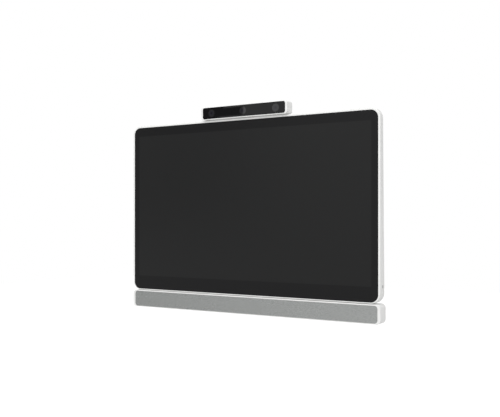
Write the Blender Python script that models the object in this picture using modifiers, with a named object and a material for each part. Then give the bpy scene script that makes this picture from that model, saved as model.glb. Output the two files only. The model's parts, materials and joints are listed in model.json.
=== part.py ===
"""A wall-hung smart display: a flat touch display with a camera bar above it and a soundbar below it.

Every separate piece of the real object is an object of its own. Units are metres. +X is the viewer's
right, +Y points at the wall and +Z is up. The origin is the centre of the mount plate's rear face.
"""

import math

import bmesh
import bpy
from mathutils import Vector

# Clearance between two solids that touch, and the shell wall that the housings share.
GAP = 0.0003
WALL = 0.0025
CORNER_STEPS = 6
ROUND_STEPS = 24
PEG_STEPS = 12

# Bosses that carry the boards, and how far they stand in from a board's corner.
BOSS_R = 0.004
BOSS_INSET = 0.012
X, Y, Z = 0, 1, 2

# Display: the cover glass's front plane is the datum for depth.
GLASS_Y = -0.080
GLASS_W = 1.148
GLASS_H = 0.712
GLASS_T = 0.003
GLASS_R = 0.030
RIM = 0.0086
RIM_FOOT = 0.0045
FRAME_W = GLASS_W + 2 * RIM
FRAME_H = GLASS_H + RIM + RIM_FOOT
FRAME_Z = (RIM - RIM_FOOT) / 2
FRAME_FOOT = FRAME_Z - FRAME_H / 2
FRAME_R = GLASS_R + RIM
FRAME_EDGE = 0.0035
LIP_T = GLASS_T + 2 * GAP
DEPTH_TOP = 0.0275
DEPTH_BOTTOM = 0.043
DEPTH_MIDDLE = (DEPTH_TOP + DEPTH_BOTTOM) / 2
BACK_SLANT = math.atan((DEPTH_BOTTOM - DEPTH_TOP) / FRAME_H)
BACK_Y = GLASS_Y + DEPTH_MIDDLE
BACK_RECESS = 0.0005

# The layers behind the glass: the visible picture sits a little above the glass's middle.
PICTURE_W = 1.0958
PICTURE_H = 0.6164
PICTURE_Z = 0.00975
PANEL_MARGIN = 0.005
PANEL_W = PICTURE_W + 2 * PANEL_MARGIN
PANEL_H = PICTURE_H + 2 * PANEL_MARGIN
TOUCH_T = 0.0007
PANEL_T = 0.0015
DIFFUSER_T = 0.0015
GUIDE_T = 0.003
LED_H = 0.004
CHASSIS_T = 0.0012
TOUCH_Y = GLASS_Y + GLASS_T + GAP
PANEL_Y = TOUCH_Y + TOUCH_T + GAP
DIFFUSER_Y = PANEL_Y + PANEL_T + GAP
GUIDE_Y = DIFFUSER_Y + DIFFUSER_T + GAP
GUIDE_END = GUIDE_Y + GUIDE_T
CHASSIS_Y = GUIDE_END + GAP
CHASSIS_END = CHASSIS_Y + CHASSIS_T

# The raised back and the plate that hangs on the wall bracket.
PLATE_W = 0.36
PLATE_H = 0.24
PLATE_T = 0.0027
PLATE_R = 0.012
BOLT_X = 0.200
BOLT_Z = 0.100
BOLT_R = 0.0034
BOLT_DEEP = 0.020
STANDOFF_R = 0.008
BAY_W = 0.032
PLATE_OVERLAP = 0.010
HUMP_X = 0.38
HUMP_TOP = 0.20
HUMP_BOTTOM = -0.27
HUMP_FRONT = -0.056
HUMP_REAR = -PLATE_T - GAP
HUMP_R = 0.030
HUMP_EDGE = 0.006
HUMP_SEAT = 0.008
SLOT_W = 0.0032
SLOT_L = 0.018
SLOT_PITCH = 0.010
SLOTS_A_SIDE = 7
SLOTS_X = 0.22

# Boards behind the chassis.
BOARD_T = 0.0016
BOARD_Y = -0.060
MAIN_BOARD = (0.02, 0.18, -0.24, 0.06)
SUPPLY_BOARD = (-0.18, -0.02, -0.24, 0.06)
SINK_BASE = 0.004
SINK_H = 0.022
FIN_T = 0.0015
FIN_PITCH = 0.012
FINS = 9
COVER_SCREW_X = 0.50
COVER_SCREW_Z = 0.32
SCREW_HOLE_R = 0.0018

# Sockets and the mains switch, side by side in two windows in the lower wall of the raised back. Each has
# its middle's x, its body's width, and its mouth's width, depth in Y and height.
SOCKET_Y = -0.020
SOCKET_Z = HUMP_BOTTOM
POWER_BAY_D = 0.0200
SIGNAL_BAY_D = 0.0140
SWITCH_X = -0.1200
SOCKETS = {
    "mains_inlet": (-0.1453, 0.0280, 0.0240, 0.0160, 0.0160),
    "mains_switch": (SWITCH_X, 0.0220, 0.0176, 0.0110, 0.0120),
    "ethernet_socket": (0.0820, 0.0160, 0.0120, 0.0090, 0.0120),
    "hdmi_socket": (0.0998, 0.0190, 0.0150, 0.0055, 0.0100),
    "usb_socket": (0.1176, 0.0160, 0.0125, 0.0055, 0.0120),
}
POWER_BAY = ("mains_inlet", "mains_switch")
ROCKER_L = 0.0150
ROCKER_W = 0.0100
ROCKER_T = 0.0060
ROCKER_TILT = math.radians(8)
ROCKER_DEPTH = 0.0015

# Power button, in the display's right side face.
BUTTON_Z = -0.2975
BUTTON_Y = GLASS_Y + 0.0255
BUTTON_L = 0.012
BUTTON_W = 0.0035
BUTTON_PROUD = 0.0004
BUTTON_FLANGE = 0.0013
FLANGE_T = 0.0010
SWITCH_CLEAR = 0.0010

# Camera bar.
BAR_W = 0.408
BAR_H = 0.053
BAR_D = 0.045
BAR_R = 0.0115
BAR_EDGE = 0.0015
BAR_Y = GLASS_Y - 0.0153
BAR_Z = FRAME_Z + FRAME_H / 2 + 0.0010
BAR_GLASS_W = 0.390
BAR_GLASS_H = 0.0465
BAR_GLASS_T = 0.002
BAR_GLASS_R = 0.009
BAR_MIDDLE = BAR_Z + BAR_H / 2
CAMERA_X = 0.152
BARREL_R = 0.0135
BARREL_L = 0.012
BRACKET_T = 0.003
CAMERA_BRACKET_X = 0.07
CAMERA_BRACKET_Z = (0.30, 0.355, BAR_Z + 0.042)

# Soundbar.
SOUND_W = FRAME_W
SOUND_H = 0.0740
SOUND_D = 0.057
SOUND_R = 0.016
SOUND_EDGE = 0.0015
SOUND_TOP = FRAME_FOOT - 0.0020
SOUND_MIDDLE = SOUND_TOP - SOUND_H / 2
CLOTH_W = 1.142
CLOTH_H = 0.0656
CLOTH_MIDDLE = SOUND_MIDDLE - 0.0006
CLOTH_R = 0.013
CLOTH_T = 0.001
CLOTH_SET = 0.0005
GRILLE_T = 0.0015
BAFFLE_T = 0.003
BAFFLE_Y = GLASS_Y + 0.0060
WOOFER_X = 0.400
TWEETER_X = 0.500
WOOFER_HOLE = 0.0260
TWEETER_HOLE = 0.0140
SOUND_BRACKET_X = 0.30
SOUND_BRACKET_W = 0.060

# Colour, roughness and metallic value of each finish.
FINISHES = {
    "white_shell": ((0.78, 0.78, 0.77), 0.45, 0.0),
    "black_glass": ((0.012, 0.012, 0.013), 0.12, 0.0),
    "clear_glass": ((0.60, 0.62, 0.64), 0.05, 0.0),
    "grey_cloth": ((0.36, 0.37, 0.36), 0.90, 0.0),
    "black_plastic": ((0.02, 0.02, 0.02), 0.50, 0.0),
    "grey_plastic": ((0.30, 0.31, 0.32), 0.50, 0.0),
    "steel": ((0.55, 0.56, 0.57), 0.40, 1.0),
    "aluminium": ((0.75, 0.76, 0.77), 0.35, 1.0),
    "film": ((0.55, 0.57, 0.60), 0.30, 0.0),
    "board": ((0.02, 0.16, 0.07), 0.55, 0.0),
}


def make_collection(name):
    collection = bpy.data.collections.new(name)
    bpy.context.scene.collection.children.link(collection)
    return collection


def clear_scene():
    for old in list(bpy.data.objects):
        bpy.data.objects.remove(old, do_unlink=True)


clear_scene()
PARTS = make_collection("smart_display")
CUTTERS = make_collection("cutters")


def make_empty(name, location=(0, 0, 0), tilt=0.0):
    empty = bpy.data.objects.new(name, None)
    empty.location = location
    empty.rotation_euler.x = tilt
    PARTS.objects.link(empty)
    return empty


def finish_of(name, finish):
    colour, roughness, metallic = FINISHES[finish]
    material = bpy.data.materials.new(f"{name}_finish")
    material.use_nodes = True
    shader = material.node_tree.nodes["Principled BSDF"]
    shader.inputs["Base Color"].default_value = (*colour, 1.0)
    shader.inputs["Roughness"].default_value = roughness
    shader.inputs["Metallic"].default_value = metallic
    return material


def shade(mesh):
    for face in mesh.polygons:
        face.use_smooth = True
    mesh.set_sharp_from_angle(angle=math.radians(35))


def place(name, shape, finish, location, parent=None):
    """Turns a bmesh into a named part with its own finish."""
    mesh = bpy.data.meshes.new(name)
    shape.to_mesh(mesh)
    shape.free()
    shade(mesh)
    part = bpy.data.objects.new(name, mesh)
    part.location = location
    part.parent = parent
    mesh.materials.append(finish_of(name, finish))
    PARTS.objects.link(part)
    return part


def hide_as_cutter(name, shape, location, parent=None):
    mesh = bpy.data.meshes.new(name)
    shape.to_mesh(mesh)
    shape.free()
    cutter = bpy.data.objects.new(name, mesh)
    cutter.location = location
    cutter.parent = parent
    cutter.hide_render = True
    cutter.display_type = "WIRE"
    CUTTERS.objects.link(cutter)
    return cutter


def box_shape(size, corner=0.0, axis=Y):
    """A box about the origin, with the four edges along one axis rounded."""
    shape = bmesh.new()
    bmesh.ops.create_cube(shape, size=1.0)
    bmesh.ops.scale(shape, vec=Vector(size), verts=shape.verts)
    if corner:
        along = [e for e in shape.edges if abs(e.verts[0].co[axis] - e.verts[1].co[axis]) > size[axis] / 2]
        bmesh.ops.bevel(shape, geom=along, offset=corner, segments=CORNER_STEPS, profile=0.5, affect="EDGES")
    return shape


def span(low, high):
    """The size and the middle of the box between two corners."""
    low, high = Vector(low), Vector(high)
    return high - low, (high + low) / 2


def soften(part, width, segments=2):
    modifier = part.modifiers.new("soften", "BEVEL")
    modifier.width = width
    modifier.segments = segments
    modifier.limit_method = "ANGLE"
    modifier.angle_limit = math.radians(50)


def block(name, finish, low, high, corner=0.0, axis=Y, parent=None):
    size, middle = span(low, high)
    return place(name, box_shape(size, corner, axis), finish, middle, parent)


def cutter_block(name, low, high, corner=0.0, axis=Y, parent=None):
    size, middle = span(low, high)
    return hide_as_cutter(name, box_shape(size, corner, axis), middle, parent)


def boolean(part, other, operation="DIFFERENCE"):
    modifier = part.modifiers.new(f"{operation.lower()}_{other.name}", "BOOLEAN")
    modifier.operation = operation
    modifier.object = other
    modifier.solver = "EXACT"


def pegs(name, places, radius, sides=PEG_STEPS):
    """Round pegs along Y, one for each (x, z, near y, far y), as one hidden helper."""
    shape = bmesh.new()
    for x, z, near, far in places:
        made = bmesh.ops.create_cone(
            shape, cap_ends=True, segments=sides, radius1=radius, radius2=radius, depth=far - near
        )
        bmesh.ops.rotate(shape, verts=made["verts"], cent=(0, 0, 0), matrix=turn_to_y())
        bmesh.ops.translate(shape, verts=made["verts"], vec=(x, (near + far) / 2, z))
    return hide_as_cutter(name, shape, (0, 0, 0))


def turn_to_y():
    """Turns local +Z to world -Y, so that a turned piece faces the viewer."""
    return Vector((0, 0, 1)).rotation_difference(Vector((0, -1, 0))).to_matrix()


def turned(name, finish, profile, location, parent=None, to_front=True):
    """A piece turned from (radius, height) points that run down its outer side. It faces -Y or +Y."""
    mesh = bpy.data.meshes.new(name)
    points = [(radius, 0.0, height) for radius, height in profile]
    mesh.from_pydata(points, [(i, i + 1) for i in range(len(points) - 1)], [])
    part = bpy.data.objects.new(name, mesh)
    part.location = location
    part.rotation_euler.x = math.radians(90 if to_front else -90)
    part.parent = parent
    mesh.materials.append(finish_of(name, finish))
    screw = part.modifiers.new("turn", "SCREW")
    screw.axis = "Z"
    screw.steps = ROUND_STEPS
    screw.render_steps = ROUND_STEPS
    screw.use_merge_vertices = True
    screw.merge_threshold = 0.00001
    screw.use_smooth_shade = True
    PARTS.objects.link(part)
    return part


def bent_plate(name, finish, outline, low_x, high_x, parent=None):
    """A bracket whose (y, z) outline is extruded along X."""
    curve = bpy.data.curves.new(f"{name}_outline", "CURVE")
    curve.dimensions = "2D"
    curve.fill_mode = "BOTH"
    curve.extrude = (high_x - low_x) / 2
    spline = curve.splines.new("POLY")
    spline.points.add(len(outline) - 1)
    for point, (y, z) in zip(spline.points, outline):
        point.co = (y, z, 0, 1)
    spline.use_cyclic_u = True
    part = bpy.data.objects.new(name, curve)
    part.location = ((low_x + high_x) / 2, 0, 0)
    part.rotation_euler = (math.radians(90), 0, math.radians(90))
    part.parent = parent
    curve.materials.append(finish_of(name, finish))
    PARTS.objects.link(part)
    return part


def centred(width, height, middle_z, near, far):
    """The corners of a box centred on X = 0."""
    low = (-width / 2, near, middle_z - height / 2)
    high = (width / 2, far, middle_z + height / 2)
    return low, high


def back_y(z):
    """Where the display's slanted back is, at a height."""
    return BACK_Y - math.tan(BACK_SLANT) * z


# ---- display ----


def display_frame(display, back):
    """The rim around the glass, with thin side walls and a back that slants outwards to the bottom."""
    deep = GLASS_Y + 2 * DEPTH_BOTTOM
    frame = block("display_frame", "white_shell", *centred(FRAME_W, FRAME_H, FRAME_Z, GLASS_Y, deep), FRAME_R,
                  parent=display)
    soften(frame, FRAME_EDGE, 3)
    seat = centred(GLASS_W + 2 * GAP, GLASS_H + 2 * GAP, 0, GLASS_Y - 0.01, deep + 0.01)
    boolean(frame, cutter_block("glass_seat", *seat, GLASS_R + GAP))
    hollow = centred(FRAME_W - 2 * WALL, FRAME_H - 2 * WALL, FRAME_Z, GLASS_Y + LIP_T,
                     deep + 0.01)
    boolean(frame, cutter_block("frame_hollow", *hollow, FRAME_R - WALL))
    behind = centred(FRAME_W + 0.1, FRAME_H + 0.1, 0, 0, 0.2)
    boolean(frame, cutter_block("behind_frame", *behind, parent=back))
    reach = FRAME_W / 2
    size = (BUTTON_W / 2 + GAP, BUTTON_L / 2 + GAP)
    low = (reach - 0.01, BUTTON_Y - size[0], BUTTON_Z - size[1])
    high = (reach + 0.01, BUTTON_Y + size[0], BUTTON_Z + size[1])
    boolean(frame, cutter_block("button_hole", low, high, size[0] - GAP / 2, axis=X))


def glass_stack(display):
    """The cover glass and the layers that make the picture, front to back."""
    glass = block("cover_glass", "black_glass", *centred(GLASS_W, GLASS_H, 0, GLASS_Y, GLASS_Y + GLASS_T),
                  GLASS_R, parent=display)
    soften(glass, 0.0004, 1)
    touch = centred(PANEL_W + 0.02, PANEL_H + 0.02, PICTURE_Z, TOUCH_Y, TOUCH_Y + TOUCH_T)
    block("touch_sensor", "film", *touch, parent=display)
    panel = centred(PANEL_W, PANEL_H, PICTURE_Z, PANEL_Y, PANEL_Y + PANEL_T)
    block("lcd_panel", "film", *panel, parent=display)
    sheet = centred(PANEL_W, PANEL_H, PICTURE_Z, DIFFUSER_Y, DIFFUSER_Y + DIFFUSER_T)
    block("diffuser_sheet", "film", *sheet, parent=display)
    guide_bottom = PICTURE_Z - PANEL_H / 2 + LED_H + GAP
    guide_top = PICTURE_Z + PANEL_H / 2
    block("light_guide", "clear_glass", (-PANEL_W / 2, GUIDE_Y, guide_bottom),
          (PANEL_W / 2, GUIDE_END, guide_top), parent=display)
    led_bottom = guide_bottom - GAP - LED_H
    block("led_strip", "grey_plastic", (-PICTURE_W / 2, GUIDE_Y, led_bottom),
          (PICTURE_W / 2, GUIDE_END, led_bottom + LED_H), parent=display)


def middle_frame(display):
    """The plastic ring behind the glass's black border, which holds the layers in line."""
    inset = WALL + GAP
    outer = centred(FRAME_W - 2 * inset, FRAME_H - 2 * inset, FRAME_Z, PANEL_Y, GUIDE_END)
    ring = block("middle_frame", "black_plastic", *outer, FRAME_R - inset, parent=display)
    inner = centred(PANEL_W + 2 * GAP, PANEL_H + 2 * GAP, PICTURE_Z, PANEL_Y - 0.01, GUIDE_END + 0.01)
    boolean(ring, cutter_block("panel_window", *inner))


def board_bosses():
    """(x, z, near y, far y) of the bosses that carry the boards and meet the rear panel's screws."""
    near = CHASSIS_END - GAP
    bosses = []
    for low_x, high_x, low_z, high_z in (MAIN_BOARD, SUPPLY_BOARD):
        for x in (low_x + BOSS_INSET, high_x - BOSS_INSET):
            for z in (low_z + BOSS_INSET, high_z - BOSS_INSET):
                bosses.append((x, z, near, BOARD_Y - GAP))
    for x, z in cover_screw_places():
        bosses.append((x, z, near, back_y(z) - BACK_RECESS - WALL - 2 * GAP))
    return bosses


def cover_screw_places():
    return [(x, z) for z in (COVER_SCREW_Z, -COVER_SCREW_Z) for x in (-COVER_SCREW_X, COVER_SCREW_X)]


def bolt_places():
    return [(x, z) for z in (BOLT_Z, -BOLT_Z) for x in (-BOLT_X, BOLT_X)]


def chassis(display):
    inset = WALL + 0.002
    sheet = centred(FRAME_W - 2 * inset, FRAME_H - 2 * inset, FRAME_Z, CHASSIS_Y, CHASSIS_END)
    plate = block("chassis_plate", "steel", *sheet, FRAME_R - inset, parent=display)
    boolean(plate, pegs("chassis_bosses", board_bosses(), BOSS_R), "UNION")


def rear_panel(back):
    """The slanted sheet that closes the frame, with a window under the electronics cover."""
    inset = WALL + GAP
    outline = centred(FRAME_W - 2 * inset, FRAME_H - 2 * inset, FRAME_Z, -BACK_RECESS - WALL, -BACK_RECESS)
    panel = block("rear_panel", "white_shell", *outline, FRAME_R - inset, parent=back)
    low = (-HUMP_X + HUMP_SEAT, -0.1, HUMP_BOTTOM + HUMP_SEAT)
    high = (HUMP_X - HUMP_SEAT, 0.1, HUMP_TOP - HUMP_SEAT)
    boolean(panel, cutter_block("panel_opening", low, high))
    screws = [(x, z, back_y(z) - 0.01, back_y(z) + 0.01) for x, z in cover_screw_places()]
    boolean(panel, pegs("cover_screw_holes", screws, SCREW_HOLE_R))


def electronics_cover(display, back):
    """The raised box on the rear panel, cut for vents and sockets and open around the mount hardware."""
    cover = block("electronics_cover", "white_shell", (-HUMP_X, HUMP_FRONT, HUMP_BOTTOM),
                  (HUMP_X, HUMP_REAR, HUMP_TOP), HUMP_R, parent=display)
    soften(cover, HUMP_EDGE)
    low = (-HUMP_X + WALL, HUMP_FRONT - 0.02, HUMP_BOTTOM + WALL)
    high = (HUMP_X - WALL, HUMP_REAR - WALL, HUMP_TOP - WALL)
    boolean(cover, cutter_block("raised_hollow", low, high, HUMP_R - WALL))
    boolean(cover, cutter_block("before_panel", (-1, -0.2, -1), (1, GAP - BACK_RECESS, 1), parent=back))
    window = centred(2 * BOLT_X + BAY_W, PLATE_H - 2 * PLATE_OVERLAP, 0, HUMP_REAR - 2 * WALL, 0.01)
    boolean(cover, cutter_block("mount_window", *window))
    boolean(cover, vents())
    boolean(cover, socket_bays())


def vents():
    """Slots through the top wall of the electronics cover, for warm air to leave by."""
    shape = bmesh.new()
    middle_y = (HUMP_REAR + back_y(HUMP_TOP)) / 2
    for side in (-1, 1):
        for step in range(-SLOTS_A_SIDE, SLOTS_A_SIDE + 1):
            made = bmesh.ops.create_cube(shape, size=1.0)["verts"]
            bmesh.ops.scale(shape, vec=(SLOT_W, SLOT_L, 4 * WALL), verts=made)
            middle = (side * SLOTS_X + step * SLOT_PITCH, middle_y, HUMP_TOP)
            bmesh.ops.translate(shape, vec=middle, verts=made)
    return hide_as_cutter("vent_slots", shape, (0, 0, 0))


def bay_depth(name):
    return POWER_BAY_D if name in POWER_BAY else SIGNAL_BAY_D


def socket_bays():
    """One window for the mains inlet and switch, and one for the signal sockets."""
    shape = bmesh.new()
    for names in (POWER_BAY, [name for name in SOCKETS if name not in POWER_BAY]):
        low_x = min(SOCKETS[name][0] - SOCKETS[name][1] / 2 for name in names) - GAP
        high_x = max(SOCKETS[name][0] + SOCKETS[name][1] / 2 for name in names) + GAP
        made = bmesh.ops.create_cube(shape, size=1.0)["verts"]
        bmesh.ops.scale(shape, vec=(high_x - low_x, bay_depth(names[0]) + 2 * GAP, 4 * WALL), verts=made)
        bmesh.ops.translate(shape, vec=((low_x + high_x) / 2, SOCKET_Y, SOCKET_Z), verts=made)
    return hide_as_cutter("socket_bays", shape, (0, 0, 0))


def socket(display, name, x, width, mouth_w, mouth_d, mouth_deep):
    """A socket whose mouth looks down, flush with the lower wall of the electronics cover."""
    finish = "black_plastic" if name in POWER_BAY else "steel"
    depth = bay_depth(name)
    body = block(name, finish, (x - width / 2, SOCKET_Y - depth / 2, SOCKET_Z),
                 (x + width / 2, SOCKET_Y + depth / 2, SOCKET_Z + mouth_deep + WALL), parent=display)
    mouth = cutter_block(f"{name}_mouth", (x - mouth_w / 2, SOCKET_Y - mouth_d / 2, SOCKET_Z - 0.01),
                         (x + mouth_w / 2, SOCKET_Y + mouth_d / 2, SOCKET_Z + mouth_deep))
    boolean(body, mouth)


def mains_rocker(display):
    """The switch's rocker. It tips about an axis along Y, and rests on its outer side."""
    size = (ROCKER_L, ROCKER_W, ROCKER_T)
    rocker = place("mains_rocker", box_shape(size), "black_plastic",
                   (SWITCH_X, SOCKET_Y, SOCKET_Z + ROCKER_DEPTH), display)
    rocker.rotation_euler.y = ROCKER_TILT
    soften(rocker, 0.0006)


def mount_hardware(display):
    """The flat plate that rests on the wall bracket, and the threaded standoffs beside it."""
    block("mount_plate", "steel", *centred(PLATE_W, PLATE_H, 0, -PLATE_T, 0), PLATE_R, parent=display)
    length = -(CHASSIS_END + GAP)
    profile = [(0, length - BOLT_DEEP), (BOLT_R, length - BOLT_DEEP), (BOLT_R, length),
               (STANDOFF_R, length), (STANDOFF_R, 0), (0, 0)]
    for number, (x, z) in enumerate(bolt_places(), 1):
        foot = (x, CHASSIS_END + GAP, z)
        turned(f"mount_standoff_{number}", "steel", profile, foot, display, to_front=False)


def boards(display):
    for name, place_of_board in (("main_board", MAIN_BOARD), ("supply_board", SUPPLY_BOARD)):
        low_x, high_x, low_z, high_z = place_of_board
        block(name, "board", (low_x, BOARD_Y, low_z), (high_x, BOARD_Y + BOARD_T, high_z), parent=display)
    supply_top = BOARD_Y + BOARD_T + GAP
    block("supply_transformer", "black_plastic", (-0.15, supply_top, -0.10),
          (-0.10, supply_top + 0.022, -0.05), parent=display)
    heatsink(display, supply_top)


def heatsink(display, base_y):
    """A finned block on the main board's processor."""
    width = (FINS - 1) * FIN_PITCH + FIN_T
    middle_x = (MAIN_BOARD[0] + MAIN_BOARD[1]) / 2
    low = (middle_x - width / 2, base_y, -0.13)
    high = (middle_x + width / 2, base_y + SINK_H, -0.03)
    sink = block("heatsink", "aluminium", low, high, parent=display)
    shape = bmesh.new()
    for step in range(FINS - 1):
        gap_w = FIN_PITCH - FIN_T
        made = bmesh.ops.create_cube(shape, size=1.0)["verts"]
        bmesh.ops.scale(shape, vec=(gap_w, SINK_H, 0.12), verts=made)
        middle = (low[X] + FIN_T + gap_w / 2 + step * FIN_PITCH, base_y + SINK_BASE + SINK_H / 2, -0.08)
        bmesh.ops.translate(shape, vec=middle, verts=made)
    boolean(sink, hide_as_cutter("fin_gaps", shape, (0, 0, 0)))


def antennas(display):
    for side, name in ((-1, "antenna_left"), (1, "antenna_right")):
        low_x, high_x = sorted((side * 0.40, side * 0.45))
        block(name, "board", (low_x, CHASSIS_END + GAP, 0.27), (high_x, CHASSIS_END + GAP + 0.001, 0.285),
              parent=display)


def cover_screws(display):
    """Pan-head screws that hold the rear panel, with a round driver recess."""
    head_r, head_h, shank_r, recess_r, recess_h = 0.0034, 0.0018, 0.0015, 0.0013, 0.0008
    profile = [(0, head_h - recess_h), (recess_r, head_h - recess_h), (recess_r, head_h), (head_r, head_h),
               (head_r, 0), (shank_r, 0), (shank_r, -WALL), (0, -WALL)]
    for number, (x, z) in enumerate(cover_screw_places(), 1):
        seat = back_y(z) - BACK_RECESS + 2 * GAP
        turned(f"cover_screw_{number}", "steel", profile, (x, seat, z), display, to_front=False)


def power_button(display):
    """A pill-shaped button in the right side wall, with a flange that keeps it in, and its switch."""
    face = FRAME_W / 2 + BUTTON_PROUD
    wall_inner = FRAME_W / 2 - WALL
    flange_face = wall_inner - GAP
    button = block("power_button", "black_plastic",
                   (flange_face - FLANGE_T / 2, BUTTON_Y - BUTTON_W / 2, BUTTON_Z - BUTTON_L / 2),
                   (face, BUTTON_Y + BUTTON_W / 2, BUTTON_Z + BUTTON_L / 2), 0.0016, axis=X, parent=display)
    half_w = BUTTON_W / 2 + BUTTON_FLANGE
    half_l = BUTTON_L / 2 + BUTTON_FLANGE
    flange = cutter_block("button_flange", (flange_face - FLANGE_T, BUTTON_Y - half_w, BUTTON_Z - half_l),
                          (flange_face, BUTTON_Y + half_w, BUTTON_Z + half_l))
    boolean(button, flange, "UNION")
    plunger = flange_face - FLANGE_T - SWITCH_CLEAR
    board_x = plunger - 0.008
    block("button_switch", "black_plastic", (board_x + GAP, BUTTON_Y - 0.003, BUTTON_Z - 0.003),
          (plunger, BUTTON_Y + 0.003, BUTTON_Z + 0.003), parent=display)
    block("button_board", "board", (board_x - BOARD_T, CHASSIS_END + GAP, BUTTON_Z - 0.012),
          (board_x, BUTTON_Y + 0.006, BUTTON_Z + 0.012), parent=display)


# ---- camera bar ----


def camera_shell(bar):
    low, high = centred(BAR_W, BAR_H, BAR_MIDDLE, BAR_Y, BAR_Y + BAR_D)
    shell = block("camera_shell", "white_shell", low, high, BAR_R, parent=bar)
    soften(shell, BAR_EDGE)
    seat = centred(BAR_GLASS_W + 2 * GAP, BAR_GLASS_H + 2 * GAP, BAR_MIDDLE, BAR_Y - 0.01,
                   BAR_Y + BAR_D - WALL)
    boolean(shell, cutter_block("bar_hollow", *seat, BAR_GLASS_R + GAP))
    near = camera_board_y() + BOARD_T + GAP
    bosses = [(x, BAR_MIDDLE, near, BAR_Y + BAR_D - WALL + GAP) for x in (-0.08, 0.08)]
    boolean(shell, pegs("bar_bosses", bosses, BOSS_R), "UNION")


def camera_board_y():
    return BAR_Y + BAR_GLASS_T + GAP + BARREL_L + GAP


def camera_bar(bar):
    camera_shell(bar)
    glass = centred(BAR_GLASS_W, BAR_GLASS_H, BAR_MIDDLE, BAR_Y, BAR_Y + BAR_GLASS_T)
    block("camera_glass", "black_glass", *glass, BAR_GLASS_R, parent=bar)
    front = BAR_Y + BAR_GLASS_T + GAP
    cup = 0.003
    lens_r = 0.0102
    barrel = [(0, -cup), (lens_r + GAP, -cup), (lens_r + GAP, 0), (BARREL_R, 0), (BARREL_R, -BARREL_L),
              (0, -BARREL_L)]
    lens = [(0, -0.0006), (0.5 * lens_r, -0.0009), (0.88 * lens_r, -0.0017), (lens_r, -0.0024),
            (lens_r, GAP - cup), (0, GAP - cup)]
    for x, side in ((-CAMERA_X, "left"), (0.0, "centre"), (CAMERA_X, "right")):
        turned(f"camera_barrel_{side}", "black_plastic", barrel, (x, front, BAR_MIDDLE), bar)
        turned(f"camera_lens_{side}", "clear_glass", lens, (x, front, BAR_MIDDLE), bar)
    board = centred(0.36, 0.036, BAR_MIDDLE, camera_board_y(), camera_board_y() + BOARD_T)
    block("camera_board", "board", *board, parent=bar)


def camera_bracket(bar):
    """The plate that hangs the camera bar, with a pad that follows the display's slanted back."""
    front = BAR_Y + BAR_D + GAP
    low_z, pad_z, high_z = CAMERA_BRACKET_Z
    outline = [(back_y(low_z) + GAP, low_z), (front + BRACKET_T, low_z), (front + BRACKET_T, high_z),
               (front, high_z), (front, pad_z), (back_y(pad_z) + GAP, pad_z)]
    bent_plate("camera_bracket", "steel", outline, -CAMERA_BRACKET_X, CAMERA_BRACKET_X, bar)


# ---- soundbar ----


def soundbar_shell(sound):
    low, high = centred(SOUND_W, SOUND_H, SOUND_MIDDLE, GLASS_Y, GLASS_Y + SOUND_D)
    shell = block("soundbar_shell", "white_shell", low, high, SOUND_R, parent=sound)
    soften(shell, SOUND_EDGE)
    hollow = centred(CLOTH_W + 2 * GAP, CLOTH_H + 2 * GAP, CLOTH_MIDDLE, GLASS_Y - 0.01,
                     GLASS_Y + SOUND_D - WALL)
    boolean(shell, cutter_block("sound_hollow", *hollow, CLOTH_R + GAP))
    bosses = [(x, SOUND_MIDDLE, amplifier_y() + BOARD_T + GAP, GLASS_Y + SOUND_D - WALL + GAP)
              for x in (-0.07, 0.07)]
    boolean(shell, pegs("amplifier_bosses", bosses, BOSS_R), "UNION")


def amplifier_y():
    return GLASS_Y + SOUND_D - 0.012


def grille(sound):
    """The cloth and the stiff panel behind it, which has a window in front of each driver."""
    cloth_y = GLASS_Y + CLOTH_SET
    cloth = centred(CLOTH_W, CLOTH_H, CLOTH_MIDDLE, cloth_y, cloth_y + CLOTH_T)
    block("grille_cloth", "grey_cloth", *cloth, CLOTH_R, parent=sound)
    panel_y = cloth_y + CLOTH_T + GAP
    inset = 0.0002
    face = centred(CLOTH_W - 2 * inset, CLOTH_H - 2 * inset, CLOTH_MIDDLE, panel_y, panel_y + GRILLE_T)
    panel = block("grille_panel", "black_plastic", *face, CLOTH_R, parent=sound)
    windows = [(x, SOUND_MIDDLE, panel_y - 0.01, panel_y + 0.01) for x in (-WOOFER_X, WOOFER_X)]
    boolean(panel, pegs("woofer_windows", windows, 0.022, ROUND_STEPS))
    windows = [(x, SOUND_MIDDLE, panel_y - 0.01, panel_y + 0.01) for x in (-TWEETER_X, TWEETER_X)]
    boolean(panel, pegs("tweeter_windows", windows, 0.010, ROUND_STEPS))


def baffle(sound):
    face = centred(CLOTH_W - 0.0004, CLOTH_H - 0.0004, CLOTH_MIDDLE, BAFFLE_Y, BAFFLE_Y + BAFFLE_T)
    board = block("speaker_baffle", "black_plastic", *face, CLOTH_R, parent=sound)
    for label, x, radius in (("woofer", WOOFER_X, WOOFER_HOLE), ("tweeter", TWEETER_X, TWEETER_HOLE)):
        holes = [(side * x, SOUND_MIDDLE, BAFFLE_Y - 0.01, BAFFLE_Y + 0.01) for side in (-1, 1)]
        boolean(board, pegs(f"{label}_holes", holes, radius, ROUND_STEPS))


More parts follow.
